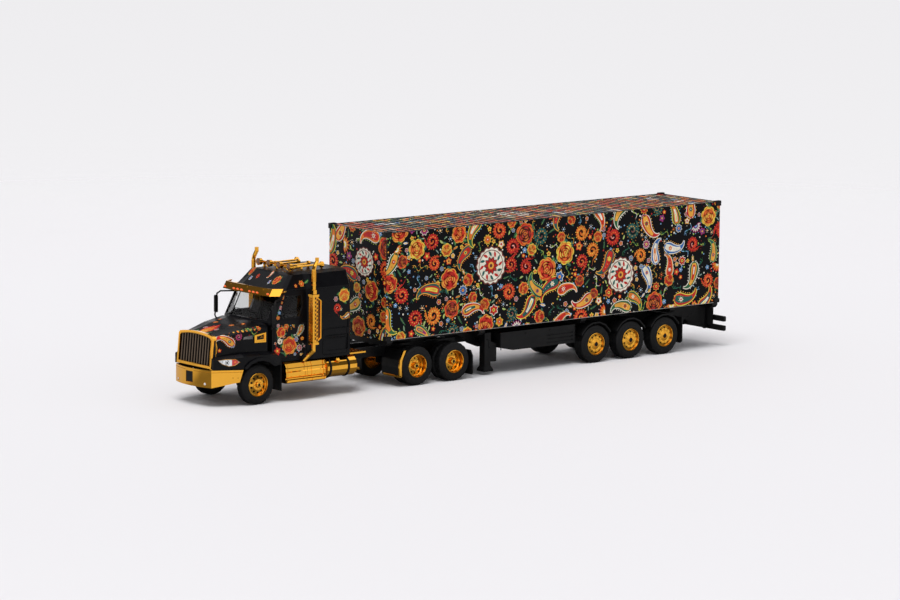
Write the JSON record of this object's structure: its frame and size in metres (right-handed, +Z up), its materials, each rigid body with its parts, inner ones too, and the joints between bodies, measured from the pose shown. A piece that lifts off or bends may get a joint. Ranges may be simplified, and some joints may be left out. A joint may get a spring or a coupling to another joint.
{
  "type": "scale model articulated lorry",
  "caption": "Display-scale articulated lorry: bonneted sleeper tractor and skeletal trailer with a high-cube container, hinged at the kingpin, wheels that roll.",
  "frame": {"origin": "on the ground under the middle of the model's length and width", "axes": "+X forward, +Y to the left, +Z up"},
  "size_m": [0.283, 0.045, 0.0657],
  "materials": {
    "satin_black": "satin",
    "printed_black": "satin, printed with flowers and drops",
    "gold_chrome": "polished gold plating",
    "grille_dark": "dark bronze",
    "clear": "clear",
    "lamp": "clear lamp",
    "black_plastic": "fine moulded",
    "tyre": "soft rubber",
    "interior": "matt"
  },
  "bodies": {
    "tractor": {"tractor_frame": "black_plastic", "engine": "black_plastic", "fifth_wheel": "black_plastic", "front_bumper": "gold_chrome", "bumper_brackets": "black_plastic", "grille_surround": "gold_chrome", "grille_bars": "grille_dark", "hood": "printed_black", "headlamps": "lamp", "cab_sides": "printed_black", "cab_floor": "interior", "side_windows": "clear", "cab_front": "satin_black", "windshield": "clear", "cab_rear_wall": "satin_black", "cab_roof": "printed_black", "dashboard": "interior", "seats": "interior", "deck_plates": "gold_chrome", "intake_frames": "gold_chrome", "quarter_edges": "gold_chrome", "tank_straps": "black_plastic", "sun_visor": "gold_chrome", "mirrors": "black_plastic", "roof_bar": "gold_chrome", "exhaust_stacks": "gold_chrome", "fuel_tanks": "gold_chrome", "step_boxes": "gold_chrome", "tractor_mudflaps": "black_plastic", "quarter_fenders": "gold_chrome"},
    "trailer": {"trailer_chassis": "satin_black", "trailer_neck": "satin_black", "landing_legs": "black_plastic", "side_boxes": "black_plastic", "trailer_mudguards": "black_plastic", "rear_bars": "black_plastic", "trailer_mudflaps": "black_plastic", "container_frame": "satin_black", "container_sides": "printed_black", "container_front": "printed_black", "container_doors": "printed_black", "container_roof": "printed_black"},
    "steer_wheels": {"steer_tyres": "tyre", "steer_rims": "gold_chrome"},
    "drive_1_wheels": {"drive_1_tyres": "tyre", "drive_1_rims": "gold_chrome"},
    "drive_2_wheels": {"drive_2_tyres": "tyre", "drive_2_rims": "gold_chrome"},
    "trailer_1_wheels": {"trailer_1_tyres": "tyre", "trailer_1_rims": "gold_chrome"},
    "trailer_2_wheels": {"trailer_2_tyres": "tyre", "trailer_2_rims": "gold_chrome"},
    "trailer_3_wheels": {"trailer_3_tyres": "tyre", "trailer_3_rims": "gold_chrome"}
  },
  "joints": [
    {"name": "kingpin_turn", "type": "hinge", "parent": "tractor", "child": "trailer", "pos_m": [0.0275, 0, 0.017], "axis": [0, 0, 1], "range_deg": [-90, 90]},
    {"name": "steer_roll", "type": "hinge", "parent": "tractor", "child": "steer_wheels", "pos_m": [0.1194, 0, 0.0082], "axis": [0, 1, 0], "continuous": true},
    {"name": "drive_1_roll", "type": "hinge", "parent": "tractor", "child": "drive_1_wheels", "pos_m": [0.0369, 0, 0.0082], "axis": [0, 1, 0], "continuous": true},
    {"name": "drive_2_roll", "type": "hinge", "parent": "tractor", "child": "drive_2_wheels", "pos_m": [0.0167, 0, 0.0082], "axis": [0, 1, 0], "continuous": true},
    {"name": "trailer_1_roll", "type": "hinge", "parent": "trailer", "child": "trailer_1_wheels", "pos_m": [-0.0636, 0, 0.0082], "axis": [0, 1, 0], "continuous": true},
    {"name": "trailer_2_roll", "type": "hinge", "parent": "trailer", "child": "trailer_2_wheels", "pos_m": [-0.0839, 0, 0.0082], "axis": [0, 1, 0], "continuous": true},
    {"name": "trailer_3_roll", "type": "hinge", "parent": "trailer", "child": "trailer_3_wheels", "pos_m": [-0.1042, 0, 0.0082], "axis": [0, 1, 0], "continuous": true}
  ]
}
